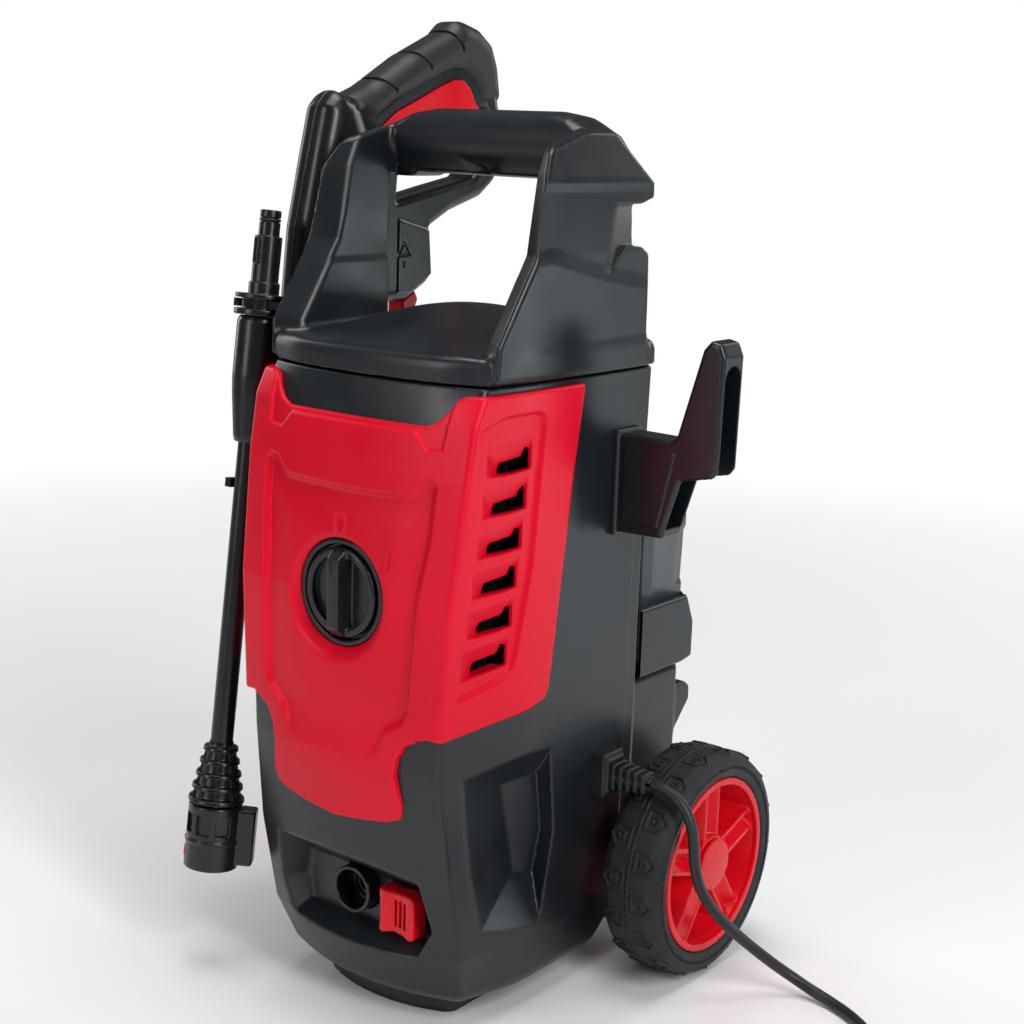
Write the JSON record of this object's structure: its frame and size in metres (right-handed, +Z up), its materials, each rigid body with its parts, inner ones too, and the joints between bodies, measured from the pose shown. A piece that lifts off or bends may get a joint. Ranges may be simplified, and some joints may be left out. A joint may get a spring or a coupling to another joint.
{
  "type": "pressure washer",
  "caption": "Upright two-wheeled electric pressure washer with carrying handle, switch knob, side louvres, spray gun and lance stowed on the left, and a power cord.",
  "frame": {"origin": "On the floor, under the middle of the machine without its loose cord", "axes": "+Z up, the front with the knob faces -Y, the power cord leaves on the +X side, gun and lance hang on the -X side"},
  "size_m": [0.4625, 0.2559, 0.525],
  "materials": {
    "black_plastic": "fine moulded texture, satin",
    "dark_plastic": "smooth satin moulding",
    "red_plastic": "semi-gloss moulded through",
    "black_rubber": "soft matt",
    "tyre_rubber": "matt tread with moulded lugs",
    "steel": "zinc plated",
    "aluminium": "die cast",
    "copper_windings": "enamelled windings on a laminated core",
    "grey_plastic": "translucent smoked plastic"
  },
  "bodies": {
    "machine": {"front_casing": "black_plastic", "rear_casing": "black_plastic", "fascia": "red_plastic", "top_cover": "black_plastic", "base_plinth": "black_plastic", "foot_pad": "tyre_rubber", "axle": "steel", "axle_clips": "steel", "casing_screws": "steel", "switch_block": "dark_plastic", "outlet_socket": "dark_plastic", "air_guides": "dark_plastic", "inlet_connector": "dark_plastic", "inlet_filter": "steel", "pump_head": "aluminium", "pump_body": "aluminium", "pistons": "steel", "motor_can": "aluminium", "motor_stator": "copper_windings", "motor_bearings": "steel", "motor_capacitor": "grey_plastic", "cable_gland": "black_rubber", "cord_relief": "black_rubber", "cord": "black_rubber", "cord_coil": "black_rubber", "cord_plug": "black_rubber", "cable_hook": "black_plastic", "hose_hook": "black_plastic", "rear_tray": "black_plastic", "lance_holder": "black_plastic", "gun_holster": "black_plastic"},
    "wheel_right": {"wheel_right_tyre": "tyre_rubber", "wheel_right_rim": "red_plastic", "wheel_right_cap": "red_plastic"},
    "wheel_left": {"wheel_left_tyre": "tyre_rubber", "wheel_left_rim": "red_plastic", "wheel_left_cap": "red_plastic"},
    "knob": {"switch_knob": "dark_plastic"},
    "button": {"release_button": "red_plastic"},
    "rotor": {"motor_rotor": "steel", "cooling_fan": "dark_plastic", "swash_plate": "steel"},
    "bottle": {"detergent_bottle": "grey_plastic", "bottle_cap": "dark_plastic"},
    "lance": {"lance_spigot": "black_plastic", "lance_seal": "black_rubber", "lance_grip": "black_plastic", "lance_tube": "black_plastic", "nozzle_carrier": "black_plastic"},
    "nozzle": {"nozzle_head": "black_plastic", "nozzle_mark": "red_plastic"},
    "gun": {"gun_shell_left": "black_plastic", "gun_shell_right": "black_plastic", "gun_grip_pad": "black_rubber", "gun_inlays": "red_plastic", "gun_barrel": "black_plastic", "gun_lance_release": "red_plastic"},
    "trigger": {"gun_trigger": "dark_plastic"},
    "trigger_lock": {"gun_trigger_lock": "red_plastic"}
  },
  "joints": [
    {"name": "wheel_right_spin", "type": "hinge", "parent": "machine", "child": "wheel_right", "pos_m": [0.106, 0.063, 0.065], "axis": [1, 0, 0], "continuous": true},
    {"name": "wheel_left_spin", "type": "hinge", "parent": "machine", "child": "wheel_left", "pos_m": [-0.106, 0.063, 0.065], "axis": [1, 0, 0], "continuous": true},
    {"name": "knob_turn", "type": "hinge", "parent": "machine", "child": "knob", "pos_m": [0, -0.118, 0.235], "axis": [0, 1, 0], "range_deg": [0, 90]},
    {"name": "button_slide", "type": "slide", "parent": "machine", "child": "button", "axis": [1, 0, 0], "range_m": [0, 0.004], "stiffness_N_per_m": 400},
    {"name": "rotor_spin", "type": "hinge", "parent": "machine", "child": "rotor", "pos_m": [0, -0.025, 0.2], "axis": [0, 0, 1], "continuous": true},
    {"name": "bottle_lift", "type": "slide", "parent": "machine", "child": "bottle", "axis": [0, 0, 1], "range_m": [0, 0.05]},
    {"name": "lance_pull", "type": "slide", "parent": "machine", "child": "lance", "axis": [0, -0.9919, 0.1271], "range_m": [0, 0.06]},
    {"name": "nozzle_twist", "type": "hinge", "parent": "lance", "child": "nozzle", "pos_m": [-0.1, -0.113, 0.057], "axis": [0, 0.1271, 0.9919], "range_deg": [0, 90]},
    {"name": "gun_lift", "type": "slide", "parent": "machine", "child": "gun", "axis": [0, 0.1942, 0.981], "range_m": [0, 0.12]},
    {"name": "trigger_pull", "type": "hinge", "parent": "gun", "child": "trigger", "pos_m": [-0.1, 0.022, 0.456], "axis": [1, 0, 0], "range_deg": [0, 8], "stiffness_Nm_per_rad": 1.5},
    {"name": "trigger_lock_slide", "type": "slide", "parent": "gun", "child": "trigger_lock", "axis": [1, 0, 0], "range_m": [-0.0025, 0.0025]}
  ]
}
